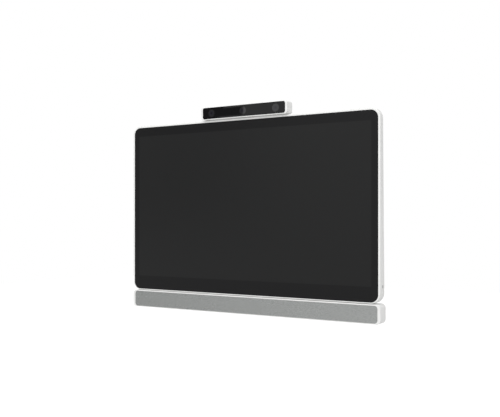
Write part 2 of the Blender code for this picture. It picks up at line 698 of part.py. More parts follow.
def drivers(sound):
    """Woofers and tweeters. Heights count forwards from the baffle's front face."""
    woofer_body = [(0, -0.013), (0.012, -0.013), (0.024, -0.006), (0.024, 0.0015), (0.029, 0.0015),
                   (0.029, 0), (0.0255, 0), (0.0255, -0.007), (0.020, -0.016), (0.020, -0.027), (0, -0.027)]
    woofer_cone = [(0, -0.0055), (0.005, -0.0061), (0.008, -0.0078), (0.019, -0.0018), (0.0212, -0.0008),
                   (0.0233, -0.0018), (0.0233, -0.0026), (0.019, -0.0032), (0.008, -0.0095), (0, -0.0095)]
    tweeter_body = [(0, -0.004), (0.011, -0.004), (0.011, 0.0015), (0.016, 0.0015), (0.016, 0), (0.0135, 0),
                    (0.0135, -0.012), (0, -0.012)]
    tweeter_dome = [(0, 0.0006), (0.004, 0.0003), (0.0075, -0.0006), (0.0103, -0.0018), (0.0103, -0.0027),
                    (0, -0.0027)]
    front = BAFFLE_Y - GAP
    for side, label in ((-1, "left"), (1, "right")):
        woofer = (side * WOOFER_X, front, SOUND_MIDDLE)
        tweeter = (side * TWEETER_X, front, SOUND_MIDDLE)
        turned(f"woofer_basket_{label}", "steel", woofer_body, woofer, sound)
        turned(f"woofer_cone_{label}", "black_plastic", woofer_cone, woofer, sound)
        turned(f"tweeter_body_{label}", "black_plastic", tweeter_body, tweeter, sound)
        turned(f"tweeter_dome_{label}", "film", tweeter_dome, tweeter, sound)


def amplifier(sound):
    face = centred(0.18, 0.045, SOUND_MIDDLE, amplifier_y(), amplifier_y() + BOARD_T)
    block("amplifier_board", "board", *face, parent=sound)


def sound_brackets(sound):
    """Two cranked plates that hang the soundbar on the display's back."""
    low_z, step_z, high_z = SOUND_TOP - 0.045, SOUND_TOP + 0.012, SOUND_TOP + 0.06
    display_back = back_y(step_z) + GAP
    sound_back = GLASS_Y + SOUND_D + GAP
    shelf_z = step_z + BRACKET_T
    outline = [(sound_back, low_z), (sound_back + BRACKET_T, low_z), (sound_back + BRACKET_T, shelf_z),
               (display_back + BRACKET_T, shelf_z), (display_back + BRACKET_T, high_z),
               (display_back, high_z), (display_back, step_z), (sound_back, step_z)]
    for side, label in ((-1, "left"), (1, "right")):
        low_x = side * SOUND_BRACKET_X - SOUND_BRACKET_W / 2
        bent_plate(f"soundbar_bracket_{label}", "steel", outline, low_x, low_x + SOUND_BRACKET_W, sound)


def main():
    display = make_empty("display_assembly")
    bar = make_empty("camera_bar_assembly")
    sound = make_empty("soundbar_assembly")
    back = make_empty("slanted_back", (0, BACK_Y, 0), BACK_SLANT)
    display_frame(display, back)
    glass_stack(display)
    middle_frame(display)
    chassis(display)
    rear_panel(back)
    electronics_cover(display, back)
    mount_hardware(display)
    boards(display)
    antennas(display)
    cover_screws(display)
    power_button(display)
    for name, sizes in SOCKETS.items():
        socket(display, name, *sizes)
    mains_rocker(display)
    camera_bar(bar)
    camera_bracket(bar)
    soundbar_shell(sound)
    grille(sound)
    baffle(sound)
    drivers(sound)
    amplifier(sound)
    sound_brackets(sound)


main()
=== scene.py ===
"""The looks of the wall-hung smart display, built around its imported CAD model. Units are metres."""

import json
import math

import bmesh
import bpy
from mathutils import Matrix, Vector


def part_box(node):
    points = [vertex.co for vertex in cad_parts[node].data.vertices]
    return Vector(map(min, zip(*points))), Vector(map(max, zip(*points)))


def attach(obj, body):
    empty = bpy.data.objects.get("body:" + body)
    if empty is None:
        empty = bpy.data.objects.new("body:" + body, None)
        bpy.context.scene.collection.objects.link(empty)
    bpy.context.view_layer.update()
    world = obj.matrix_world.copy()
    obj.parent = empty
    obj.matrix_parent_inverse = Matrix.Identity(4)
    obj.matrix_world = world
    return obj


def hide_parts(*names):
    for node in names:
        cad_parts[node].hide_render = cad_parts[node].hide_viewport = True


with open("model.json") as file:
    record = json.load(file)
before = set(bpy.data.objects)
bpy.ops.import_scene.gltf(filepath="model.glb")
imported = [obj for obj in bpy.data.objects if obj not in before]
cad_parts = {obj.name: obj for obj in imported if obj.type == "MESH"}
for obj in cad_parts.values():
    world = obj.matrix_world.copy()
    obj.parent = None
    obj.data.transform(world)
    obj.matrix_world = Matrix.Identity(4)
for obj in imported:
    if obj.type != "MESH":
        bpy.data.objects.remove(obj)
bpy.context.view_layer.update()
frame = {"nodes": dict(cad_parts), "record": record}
NODES = frame["nodes"]
HOUSING = "housing"

# The frame's own boxes give every place below.
GLASS_LOW, GLASS_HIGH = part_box("cover_glass")
FRAME_LOW, FRAME_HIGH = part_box("display_frame")
PICTURE_LOW, PICTURE_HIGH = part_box("lcd_panel")
BAR_LOW, BAR_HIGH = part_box("camera_shell")
BAR_GLASS_LOW, BAR_GLASS_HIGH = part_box("camera_glass")
SOUND_LOW, SOUND_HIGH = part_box("soundbar_shell")
CLOTH_LOW, CLOTH_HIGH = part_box("grille_cloth")
PLATE_LOW, PLATE_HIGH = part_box("mount_plate")
COVER_LOW, COVER_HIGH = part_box("electronics_cover")
FRONT = GLASS_LOW.y

# Rounding of the outlines, the wall thickness, the clearances and the small features of the CAD nodes.
GLASS_R = 0.030
FRAME_R = 0.0386
FRAME_EDGE = 0.0035
BAR_R = 0.0115
BAR_GLASS_R = 0.009
SOUND_R = 0.016
CLOTH_R = 0.013
WALL = 0.0025
GAP = 0.0003
DEPTH_TOP = 0.0275
DEPTH_BOTTOM = 0.043
PANEL_MARGIN = 0.005
SHELL_EDGE = 0.0022
LIP_DEEP = 0.0036
PANE_EDGE = 0.00025
BUTTON_W = 0.0035
BUTTON_L = 0.012
PANEL_RECESS = 0.0005
COVER_R = 0.030
COVER_EDGE = 0.006
COVER_SEAT = 0.008
SLOT_W = 0.0032
SLOT_L = 0.018
SLOT_PITCH = 0.010
SLOTS_A_SIDE = 7
SLOTS_X = 0.22
BAY_HALF_W = 0.216
BAY_R = 0.004
PLATE_OVERLAP = 0.010
HANGER_T = 0.003
HANGER_STEP = 0.012

# Details that only the looks have: lens windows, screws, the bays' liners and their ribs.
WINDOW_R = 0.0165
WINDOW_GROOVE = 0.0004
COVER_SCREW = (0.0038, 0.0010)
HANGER_SCREW = (0.0042, 0.0016)
PLATE_SCREW_X = 0.150
PLATE_SCREW_Z = 0.1145
CAMERA_SCREW_X = 0.050
CAMERA_SCREW_Z = (0.318, 0.390)
HANGER_SCREW_X = 0.018
HANGER_SCREW_LOW = 0.030
HANGER_SCREW_HIGH = 0.045
LINER_DEEP = 0.014
LINER_T = 0.0012
LINER_SOFT = 0.001
LINER_TUCK = 0.004
POST_CLEAR = 0.0010
RIB_PITCH = 0.022

# How finely round shapes are cut, how far a tool stands clear of its face, and which edges stay sharp.
CORNER_STEPS = 20
ARC_STEPS = 6
ROUND_STEPS = 40
WINDOW_STEPS = 72
HEX_STEPS = 6
CLEAR = 0.001
SLIVER = 0.00001
SHARP = math.radians(32)

# Camera: level, turned to the object's right, at the photo's distance.
CAMERA_TURN = math.radians(30.96)
CAMERA_AT = (1.5625, FRONT - 2.5611, -0.0476)
CAMERA_LENS = 53.1
CAMERA_SENSOR = 36.0
CAMERA_SHIFT_Y = 0.021

# Light: how bright each part of the room is, the dark flag's edges in degrees from the front to the left,
# and the two soft lights. Each pair of places, along a direction of length 1, is where a tone starts and
# stops changing.
ROOM_FRONT = 0.98
ROOM_BACK = 0.74
ROOM_TOP = 0.30
ROOM_UNDER = 0.10
ROOM_SIDES = 0.38
FRONT_TO_BACK = (-0.7, 0.3)
LEVEL_TO_TOP = (0.35, 0.9)
LEVEL_TO_UNDER = (0.2, 0.9)
MIDDLE_TO_SIDES = (0.55, 0.95)
FLAG_NEAR = 31.5
FLAG_EDGE = 0.08
FLAG_FAR = 60.0
FLAG_FAR_EDGE = 6.0
FLAG_TALL = (0.35, 0.55)
FLAG_SHARE = 0.18
KEY_AT = (0.6, FRONT - 2.6, 2.6)
KEY_SIZE = (2.6, 1.6)
KEY_WATTS = 42.0
TOP_AT = (-0.2, FRONT + 0.2, 2.8)
TOP_SIZE = (3.0, 2.0)
TOP_WATTS = 8.0
FLOOR_Z = -1.0
FLOOR_HALF = 7.0
FLOOR_LIFT = 0.42
FLOOR_GLOW = FLOOR_LIFT / 8


# ---- mesh tools ----


def outline(half_w, half_h, radius, steps=CORNER_STEPS):
    """Points round a rectangle with round corners, anticlockwise as seen from the front."""
    points = []
    for number, (side_x, side_z) in enumerate(((1, 1), (-1, 1), (-1, -1), (1, -1))):
        middle_x = side_x * (half_w - radius)
        middle_z = side_z * (half_h - radius)
        for step in range(steps + 1):
            angle = math.radians(90 * (number + step / steps))
            points.append((middle_x + radius * math.cos(angle), middle_z + radius * math.sin(angle)))
    return points


def ring(half_w, half_h, radius, middle, depth):
    """One loop of a loft. depth is a plane's y, or a function that gives y at a height."""
    points = outline(half_w, half_h, max(radius, 0.0001))
    at = depth if callable(depth) else lambda z: depth
    return [(middle.x + x, at(middle.z + z), middle.z + z) for x, z in points]


def loft(name, rings, closed=False):
    """A skin over loops that all have the same number of points. Its ends are capped, or joined if closed."""
    shape = bmesh.new()
    loops = [[shape.verts.new(point) for point in points] for points in rings]
    count = len(loops[0])
    pairs = list(zip(loops, loops[1:]))
    if closed:
        pairs.append((loops[-1], loops[0]))
    for near, far in pairs:
        for i in range(count):
            j = (i + 1) % count
            shape.faces.new((near[i], near[j], far[j], far[i]))
    if not closed:
        shape.faces.new(loops[0])
        shape.faces.new(loops[-1])
    bmesh.ops.recalc_face_normals(shape, faces=shape.faces)
    return finish_mesh(name, shape)


def finish_mesh(name, shape):
    """Turns a bmesh into a smooth-shaded object in the scene."""
    mesh = bpy.data.meshes.new(name)
    shape.to_mesh(mesh)
    shape.free()
    for face in mesh.polygons:
        face.use_smooth = True
    mesh.set_sharp_from_angle(angle=SHARP)
    piece = bpy.data.objects.new(name, mesh)
    bpy.context.scene.collection.objects.link(piece)
    return piece


def arc(radius, steps=ARC_STEPS):
    """(inset, depth) pairs of a quarter round, from the front face out to the side."""
    turns = [math.radians(90 * step / steps) for step in range(steps + 1)]
    return [(radius * (1 - math.sin(a)), radius * (1 - math.cos(a))) for a in turns]


def cut(piece, tool):
    """Takes the tool's shape out of the piece, and removes the tool."""
    modifier = piece.modifiers.new("cut", "BOOLEAN")
    modifier.operation = "DIFFERENCE"
    modifier.solver = "EXACT"
    modifier.object = tool
    bpy.context.view_layer.update()
    evaluated = piece.evaluated_get(bpy.context.evaluated_depsgraph_get())
    mesh = bpy.data.meshes.new_from_object(evaluated)
    piece.modifiers.clear()
    old = piece.data
    piece.data = mesh
    bpy.data.meshes.remove(old)
    mesh.set_sharp_from_angle(angle=SHARP)
    bpy.data.objects.remove(tool)


def box_tool(boxes):
    """One hidden mesh that holds a box for each (middle, size)."""
    shape = bmesh.new()
    for middle, size in boxes:
        made = bmesh.ops.create_cube(shape, size=1.0)["verts"]
        bmesh.ops.scale(shape, vec=size, verts=made)
        bmesh.ops.translate(shape, vec=middle, verts=made)
    return finish_mesh("box_tool", shape)


def turned(name, profile, middle, steps=ROUND_STEPS):
    """A round piece along Y from (radius, height) points. Height counts towards +Y."""
    turns = [2 * math.pi * step / steps for step in range(steps)]
    rings = []
    for radius, height in profile:
        y = middle[1] + height
        rings.append([(middle[0] + radius * math.cos(a), y, middle[2] + radius * math.sin(a)) for a in turns])
    return loft(name, rings)


def refined(node, name, edge, segments):
    """A copy of a CAD node with its edges softened."""
    shape = bmesh.new()
    shape.from_mesh(NODES[node].data)
    bmesh.ops.remove_doubles(shape, verts=shape.verts, dist=0.000002)
    bmesh.ops.dissolve_limit(shape, angle_limit=math.radians(1), verts=shape.verts, edges=shape.edges)
    corners = [e for e in shape.edges if len(e.link_faces) == 2 and e.calc_face_angle(0) > math.radians(40)]
    bmesh.ops.bevel(shape, geom=corners, offset=edge, segments=segments, profile=0.5, affect="EDGES",
                    clamp_overlap=True)
    return finish_mesh(name, shape)


def refine_node(node, name, edge, segments, body=HOUSING):
    """A softened copy that stands for its CAD node, in that node's own finish."""
    slot = next(row["material_slot"] for row in frame["record"]["subparts"] if row["node"] == node)
    return add_piece(refined(node, name, edge, segments), MATERIALS[slot], [node], body)


def halves(low, high):
    """Half the width, half the height and the middle of a box."""
    size = high - low
    return size.x / 2, size.z / 2, (low + high) / 2


def add_piece(piece, material, nodes=(), body=HOUSING):
    """Gives a piece its finish, its body and the CAD nodes that it stands for."""
    piece.data.materials.clear()
    piece.data.materials.append(material)
    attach(piece, body)
    if nodes:
        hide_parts(*nodes)
    return piece


# ---- materials ----


class Finish:
    """A node material around one Principled shader, with short ways to add what varies over the surface."""

    def __init__(self, name, colour, roughness, metallic=0.0, **extra):
        self.material = bpy.data.materials.new(name)
        self.material.use_nodes = True
        self.tree = self.material.node_tree
        self.shader = self.tree.nodes["Principled BSDF"]
        self.shader.inputs["Base Color"].default_value = (*colour, 1.0)
        self.shader.inputs["Roughness"].default_value = roughness
        self.shader.inputs["Metallic"].default_value = metallic
        for socket, value in extra.items():
            self.shader.inputs[socket.replace("_", " ")].default_value = value
        self.place = self.add("ShaderNodeTexCoord").outputs["Object"]

    def add(self, kind, **values):
        node = self.tree.nodes.new(kind)
        for key, value in values.items():
            setattr(node, key, value)
        return node

    def link(self, source, target):
        self.tree.links.new(source, target)

    def math(self, operation, *values):
        node = self.add("ShaderNodeMath", operation=operation)
        for socket, value in zip(node.inputs, values):
            if hasattr(value, "is_linked"):
                self.link(value, socket)
            else:
                socket.default_value = value
        return node.outputs[0]

    def stretched(self, scale):
        """The place on the object, scaled by a different amount along each axis."""
        node = self.add("ShaderNodeMapping")
        node.inputs["Scale"].default_value = scale
        self.link(self.place, node.inputs["Vector"])
        return node.outputs[0]

    def noise(self, size, detail=2.0, at=None):
        """Noise from 0 to 1 whose spots are about size across."""
        node = self.add("ShaderNodeTexNoise")
        node.inputs["Scale"].default_value = 1.0 / size
        node.inputs["Detail"].default_value = detail
        self.link(at or self.place, node.inputs["Vector"])
        return node.outputs["Fac"]

    def between(self, factor, low, high):
        """A number that runs from low to high with the factor."""
        node = self.add("ShaderNodeMapRange")
        self.link(factor, node.inputs["Value"])
        node.inputs["To Min"].default_value = low
        node.inputs["To Max"].default_value = high
        return node.outputs["Result"]

    def colours(self, factor, *stops):
        """A colour ramp of (place, colour) stops."""
        node = self.add("ShaderNodeValToRGB")
        ramp = node.color_ramp
        while len(ramp.elements) < len(stops):
            ramp.elements.new(0.5)
        for element, (place, colour) in zip(ramp.elements, stops):
            element.position = place
            element.color = (*colour, 1.0)
        self.link(factor, node.inputs["Fac"])
        return node.outputs["Color"]

    def set(self, socket, source):
        self.link(source, self.shader.inputs[socket])

    def bump(self, height, depth, strength=1.0):
        node = self.add("ShaderNodeBump")
        node.inputs["Strength"].default_value = strength
        node.inputs["Distance"].default_value = depth
        self.link(height, node.inputs["Height"])
        self.link(node.outputs["Normal"], self.shader.inputs["Normal"])

    def axes(self):
        node = self.add("ShaderNodeSeparateXYZ")
        self.link(self.place, node.inputs[0])
        return node.outputs


def shade_of(colour, share):
    return tuple(min(1.0, part * share) for part in colour)


def moulded(name, colour, roughness, grain=0.0004, depth=0.00002, patch=0.09):
    """Moulded plastic: a fine spark-eroded grain, and faint patches of tone and gloss."""
    finish = Finish(name, colour, roughness)
    dull, fresh = shade_of(colour, 0.97), shade_of(colour, 1.02)
    finish.set("Base Color", finish.colours(finish.noise(patch, 3), (0.3, dull), (0.7, fresh)))
    finish.set("Roughness", finish.between(finish.noise(grain * 6), roughness - 0.05, roughness + 0.05))
    finish.bump(finish.noise(grain, 4), depth, 0.6)
    return finish.material


def brushed(name, colour, roughness, along=(40, 1, 1)):
    """Metal with fine streaks along one axis."""
    finish = Finish(name, colour, roughness, 1.0)
    streaks = finish.noise(0.002, 5, finish.stretched(along))
    dark, light = shade_of(colour, 0.90), shade_of(colour, 1.05)
    finish.set("Base Color", finish.colours(streaks, (0.3, dark), (0.7, light)))
    finish.set("Roughness", finish.between(streaks, roughness - 0.08, roughness + 0.10))
    finish.bump(streaks, 0.00001, 0.5)
    return finish.material


def screen_glass():
    """The cover glass: a black border round a slightly lighter picture area, under a soft etched face."""
    border = (0.0125, 0.0125, 0.0130)
    picture = (0.0180, 0.0182, 0.0184)
    finish = Finish("screen_glass", border, 0.34, Specular_IOR_Level=0.10)
    x, _, z = finish.axes()
    edge = 0.0006
    half_w = (PICTURE_HIGH.x - PICTURE_LOW.x) / 2 - PANEL_MARGIN
    half_h = (PICTURE_HIGH.z - PICTURE_LOW.z) / 2 - PANEL_MARGIN
    middle_z = (PICTURE_HIGH.z + PICTURE_LOW.z) / 2
    across = finish.math("SUBTRACT", half_w, finish.math("ABSOLUTE", x))
    up = finish.math("SUBTRACT", half_h, finish.math("ABSOLUTE", finish.math("SUBTRACT", z, middle_z)))
    inside = finish.math("DIVIDE", finish.math("MINIMUM", across, up), edge)
    cloud = finish.noise(0.35, 2)
    mask = finish.math("MINIMUM", finish.math("MAXIMUM", inside, 0.0), 1.0)
    tone = finish.math("MULTIPLY", mask, finish.between(cloud, 0.88, 1.0))
    finish.set("Base Color", finish.colours(tone, (0.0, border), (1.0, picture)))
    etch = finish.noise(0.0005, 3)
    finish.set("Roughness", finish.between(etch, 0.31, 0.38))
    finish.bump(etch, 0.000004, 0.4)
    return finish.material


def gloss_glass():
    """Polished black glass with the faintest waviness."""
    colour = (0.0035, 0.0035, 0.0040)
    finish = Finish("black_glass", colour, 0.010, Specular_IOR_Level=0.30)
    wave = finish.noise(0.06, 1)
    finish.set("Base Color", finish.colours(wave, (0.3, colour), (0.7, shade_of(colour, 1.25))))
    finish.set("Roughness", finish.between(finish.noise(0.01, 3), 0.010, 0.016))
    finish.bump(wave, 0.00001, 0.3)
    return finish.material


def speaker_cloth():
    """Plain-woven grey speaker cloth: threads over and under at a 1.1 mm pitch, with slubs and flecks, and
    painted light that makes it lighter towards its right end.
    """
    pale = (0.39, 0.40, 0.393)
    dark = (0.153, 0.162, 0.156)
    pitch = 0.0011
    finish = Finish("speaker_cloth", pale, 0.92, Sheen_Weight=0.25, Sheen_Roughness=0.5)
    x, _, z = finish.axes()
    turn = math.pi / pitch
    warp = finish.math("SINE", finish.math("MULTIPLY", x, turn))
    weft = finish.math("SINE", finish.math("MULTIPLY", z, turn))
    weave = finish.math("ADD", finish.math("MULTIPLY", finish.math("MULTIPLY", warp, weft), 0.5), 0.5)
    slub = finish.noise(0.004, 4, finish.stretched((0.35, 1, 1.2)))
    fleck = finish.noise(0.0016, 2)
    height = finish.math("ADD", finish.math("MULTIPLY", weave, 0.55), finish.math("MULTIPLY", slub, 0.45))
    mixed = finish.math("ADD", finish.math("MULTIPLY", height, 0.7), finish.math("MULTIPLY", fleck, 0.3))
    half = (CLOTH_HIGH.x - CLOTH_LOW.x) / 2
    # Painted light: the cloth's tone runs from darker at its left end to lighter at its right end, as a light
    # from the right would make it.
    painted_light_ramp = finish.add("ShaderNodeMapRange")
    finish.link(x, painted_light_ramp.inputs["Value"])
    for socket, value in (("From Min", -half), ("From Max", half), ("To Min", -0.05), ("To Max", 0.075)):
        painted_light_ramp.inputs[socket].default_value = value
    mixed = finish.math("ADD", mixed, painted_light_ramp.outputs["Result"])
    finish.set("Base Color", finish.colours(mixed, (0.30, dark), (0.52, shade_of(pale, 0.72)), (0.72, pale)))
    finish.bump(height, 0.0003, 0.8)
    return finish.material


def circuit_board():
    """Green solder mask in two shades over copper tracks."""
    mask = (0.012, 0.10, 0.045)
    track = (0.03, 0.20, 0.09)
    finish = Finish("circuit_board", mask, 0.38)
    brick = finish.add("ShaderNodeTexBrick")
    brick.inputs["Scale"].default_value = 60.0
    brick.inputs["Mortar Size"].default_value = 0.03
    brick.inputs["Color1"].default_value = (*mask, 1.0)
    brick.inputs["Color2"].default_value = (*shade_of(mask, 1.35), 1.0)
    brick.inputs["Mortar"].default_value = (*track, 1.0)
    swap = finish.add("ShaderNodeCombineXYZ")
    x, _, z = finish.axes()
    finish.link(x, swap.inputs[0])
    finish.link(z, swap.inputs[1])
    finish.link(swap.outputs[0], brick.inputs["Vector"])
    finish.set("Base Color", brick.outputs["Color"])
    finish.bump(brick.outputs["Fac"], 0.00005, 0.6)
    return finish.material


def optical(name, colour, roughness):
    """A clear or milky optical sheet with a very fine print."""
    finish = Finish(name, colour, roughness)
    dots = finish.noise(0.0012, 1)
    finish.set("Base Color", finish.colours(dots, (0.35, shade_of(colour, 0.94)), (0.65, colour)))
    finish.bump(dots, 0.00001, 0.3)
    return finish.material


def lens_window():
    """A coated window: faint rings round a dark middle, and about twice the gloss of the pane round it."""
    finish = Finish("lens_window", (0.004, 0.004, 0.005), 0.03, Specular_IOR_Level=0.62)
    x, _, z = finish.axes()
    squares = finish.math("ADD", finish.math("MULTIPLY", x, x), finish.math("MULTIPLY", z, z))
    reach = finish.math("SQRT", squares)
    share = finish.math("DIVIDE", reach, WINDOW_R)
    tint = finish.colours(share, (0.0, (0.002, 0.002, 0.003)), (0.26, (0.003, 0.003, 0.005)),
                          (0.30, (0.014, 0.012, 0.020)), (0.52, (0.006, 0.007, 0.011)),
                          (0.56, (0.016, 0.016, 0.018)), (0.90, (0.010, 0.010, 0.011)),
                          (0.95, (0.003, 0.003, 0.003)))
    finish.set("Base Color", tint)
    finish.set("Roughness", finish.between(finish.noise(0.004, 2), 0.010, 0.018))
    return finish.material


def coated_lens():
    """Lens glass that turns from blue to violet towards its rim."""
    finish = Finish("coated_lens", (0.01, 0.012, 0.02), 0.02, IOR=1.7)
    facing = finish.add("ShaderNodeLayerWeight")
    facing.inputs["Blend"].default_value = 0.5
    finish.set("Base Color", finish.colours(facing.outputs["Facing"], (0.0, (0.004, 0.006, 0.014)),
                                            (0.6, (0.02, 0.012, 0.035)), (1.0, (0.03, 0.03, 0.04))))
    return finish.material


MATERIALS = {
    "white_shell": moulded("white_shell", (0.83, 0.83, 0.82), 0.42),
    "black_glass": gloss_glass(),
    "lens_glass": coated_lens(),
    "grille_cloth": speaker_cloth(),
    "black_plastic": moulded("black_plastic", (0.018, 0.018, 0.019), 0.55),
    "acrylic": optical("acrylic", (0.62, 0.65, 0.67), 0.12),
    "led_board": optical("led_board", (0.80, 0.79, 0.70), 0.45),
    "film": optical("film", (0.55, 0.57, 0.60), 0.30),
    "circuit_board": circuit_board(),
    "speaker_cone": moulded("speaker_cone", (0.022, 0.022, 0.023), 0.75, 0.0012, 0.0001, 0.01),
    "steel": brushed("steel", (0.56, 0.57, 0.58), 0.34),
    "painted_steel": moulded("painted_steel", (0.62, 0.62, 0.61), 0.50, 0.0009, 0.00006),
    "aluminium": brushed("aluminium", (0.76, 0.77, 0.78), 0.32, (1, 1, 0.03)),
}


def paint_cad_nodes():
    """Gives every CAD node the finish of its slot."""
    for row in frame["record"]["subparts"]:
        node = NODES[row["node"]]
        node.data.materials.clear()
        node.data.materials.append(MATERIALS[row["material_slot"]])


# ---- display ----


def back_y(z):
    """Where the display's slanted back is, at a height."""
    slope = (DEPTH_BOTTOM - DEPTH_TOP) / (FRAME_HIGH.z - FRAME_LOW.z)
    return FRONT + (DEPTH_BOTTOM + DEPTH_TOP) / 2 - slope * z


def display_frame():
    """The rim: a rounded front edge, thin side walls and a softened, slanted back edge."""
    glass_w, glass_h, glass_middle = halves(GLASS_LOW, GLASS_HIGH)
    frame_w, frame_h, frame_middle = halves(FRAME_LOW, FRAME_HIGH)
    frame_r = GLASS_R + frame_w - glass_w
    lip_back = FRONT + LIP_DEEP
    soft = 0.0010

    def seat(offset, depth):
        return ring(glass_w + offset, glass_h + offset, GLASS_R + offset, glass_middle, depth)

    def rim(inset, depth):
        return ring(frame_w - inset, frame_h - inset, frame_r - inset, frame_middle, depth)

    rings = [seat(GAP / 2, lip_back), seat(GAP / 2, FRONT + 0.0006), seat(0.00035, FRONT + 0.0002),
             seat(0.0006, FRONT)]
    rings += [rim(inset, FRONT + deep) for inset, deep in arc(FRAME_EDGE, 10)]
    for inset, deep in reversed(arc(soft, 4)):
        rings.append(rim(inset, lambda z, d=deep: back_y(z) - d))
    rings += [rim(WALL, back_y), rim(WALL, lip_back)]
    piece = loft("display_rim", rings, closed=True)
    button_low, button_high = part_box("power_button")
    middle = Vector((FRAME_HIGH.x, (button_low.y + button_high.y) / 2, (button_low.z + button_high.z) / 2))
    cut(piece, pill_tool(middle, BUTTON_W + 2 * GAP, BUTTON_L + 2 * GAP, 0.012))
    return add_piece(piece, MATERIALS["white_shell"], ["display_frame"])


def pill_tool(middle, width, length, depth):
    """An upright pill along X, for cutting the side wall."""
    points = outline(width / 2, length / 2, width / 2 - SLIVER, 8)
    ends = (middle.x - depth / 2, middle.x + depth / 2)
    return loft("pill_tool", [[(x, middle.y + a, middle.z + b) for a, b in points] for x in ends])


def cover_glass():
    pane("screen_pane", GLASS_LOW, GLASS_HIGH, GLASS_R, screen_glass(), "cover_glass")


def pane(name, low, high, radius, material, node):
    """A flat pane with round corners and a small polished edge."""
    half_w, half_h, middle = halves(low, high)

    def at(inset, y):
        return ring(half_w - inset, half_h - inset, radius - inset, middle, y)

    rings = [at(inset, low.y + deep) for inset, deep in arc(PANE_EDGE, 3)]
    rings.append(at(0, high.y))
    return add_piece(loft(name, rings), material, [node])


def shell(name, low, high, outer_r, seat_low, seat_high, seat_r):
    """A housing whose front is open for a pane or a cloth, with rounded edges front and back."""
    half_w, half_h, middle = halves(low, high)
    seat_w, seat_h, seat_middle = halves(seat_low, seat_high)
    seat_w += GAP / 2
    seat_h += GAP / 2
    lip = 0.0005

    def seat(offset, y):
        return ring(seat_w + offset, seat_h + offset, seat_r + offset, seat_middle, y)

    def outer(inset, y):
        return ring(half_w - inset, half_h - inset, outer_r - inset, middle, y)

    rings = [seat(0, high.y - WALL), seat(0, low.y + lip)]
    rings += [seat(lip * 0.3, low.y + lip * 0.3), seat(lip, low.y)]
    rings += [outer(inset, low.y + deep) for inset, deep in arc(SHELL_EDGE)]
    rings += [outer(inset, high.y - deep) for inset, deep in reversed(arc(SHELL_EDGE))]
    return loft(name, rings)


def camera_bar():
    body = shell("camera_bar_shell", BAR_LOW, BAR_HIGH, BAR_R, BAR_GLASS_LOW, BAR_GLASS_HIGH, BAR_GLASS_R)
    add_piece(body, MATERIALS["white_shell"], ["camera_shell"])
    camera_pane()


def camera_pane():
    """The bar's dark pane, with a groove round each of three flush lens windows."""
    black = MATERIALS["black_glass"]
    glass = pane("camera_pane", BAR_GLASS_LOW, BAR_GLASS_HIGH, BAR_GLASS_R, black, "camera_glass")
    window = lens_window()
    soft = 0.00015
    thick = 0.0006
    profile = [(WINDOW_R, thick), (WINDOW_R, soft), (WINDOW_R - soft, 0)]
    groove = [(WINDOW_R + WINDOW_GROOVE, -CLEAR), (WINDOW_R + WINDOW_GROOVE, thick + 0.0001)]
    for side in ("left", "centre", "right"):
        low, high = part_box(f"camera_lens_{side}")
        middle = (low + high) / 2
        place = (middle.x, BAR_GLASS_LOW.y, middle.z)
        cut(glass, turned("seat_tool", groove, place, WINDOW_STEPS))
        disc = turned(f"lens_window_{side}", profile, (0, 0, 0), WINDOW_STEPS)
        disc.location = place
        bpy.context.view_layer.update()
        add_piece(disc, window)


def soundbar():
    body = shell("soundbar_casing", SOUND_LOW, SOUND_HIGH, SOUND_R, CLOTH_LOW, CLOTH_HIGH, CLOTH_R)
    add_piece(body, MATERIALS["white_shell"], ["soundbar_shell"])
    grille_cloth()


def grille_cloth():
    """Cloth pulled tight and flat over the grille panel, and softly rolled at its border."""
    half_w, half_h, middle = halves(CLOTH_LOW, CLOTH_HIGH)
    thick = CLOTH_HIGH.y - CLOTH_LOW.y
    front = CLOTH_LOW.y

    def at(inset, y):
        return ring(half_w - inset, half_h - inset, max(CLOTH_R - inset, 0.002), middle, y)

    rings = [at(inset, front + deep) for inset, deep in arc(thick * 0.8, 5)]
    rings = [at(0.004, front), at(0.002, front)] + rings
    rings += [at(0, front + thick), at(0.004, front + thick)]
    cloth = loft("grille_cloth_sheet", rings)
    add_piece(cloth, MATERIALS["grille_cloth"], ["grille_cloth"])


# ---- back ----


def panel_y(z):
    """Where the rear panel's outer face is, at a height."""
    return back_y(z) - PANEL_RECESS


def rear_panel():
    """The slanted sheet that closes the frame, with a dished seat for each of its screws."""
    low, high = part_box("rear_panel")
    half_w, half_h, middle = halves(low, high)
    corner = FRAME_R - WALL - GAP
    cover_w, cover_h, cover_middle = halves(COVER_LOW, COVER_HIGH)
    window = (cover_w - COVER_SEAT, cover_h - COVER_SEAT, COVER_R - COVER_SEAT, cover_middle)
    soft = 0.0005
    rings = [ring(*window, lambda z: panel_y(z) - WALL), ring(*window, panel_y)]
    for inset, deep in arc(soft, 3):
        rings.append(ring(half_w - inset, half_h - inset, corner - inset, middle,
                          lambda z, d=deep: panel_y(z) - d))
    rings.append(ring(half_w, half_h, corner, middle, lambda z: panel_y(z) - WALL))
    panel = loft("rear_panel_sheet", rings, closed=True)
    for number in range(1, 5):
        low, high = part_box(f"cover_screw_{number}")
        middle = (low + high) / 2
        dish = [(0.0060, 0.0010), (0.0060, 0.0), (0.0044, -0.0006), (0.0044, -0.0040)]
        cut(panel, turned("dish_tool", dish, (middle.x, panel_y(middle.z), middle.z)))
        seat = panel_y(middle.z) - 0.0006
        screw(f"cover_screw_head_{number}", middle, seat, COVER_SCREW, [f"cover_screw_{number}"])
    add_piece(panel, MATERIALS["white_shell"], ["rear_panel"])


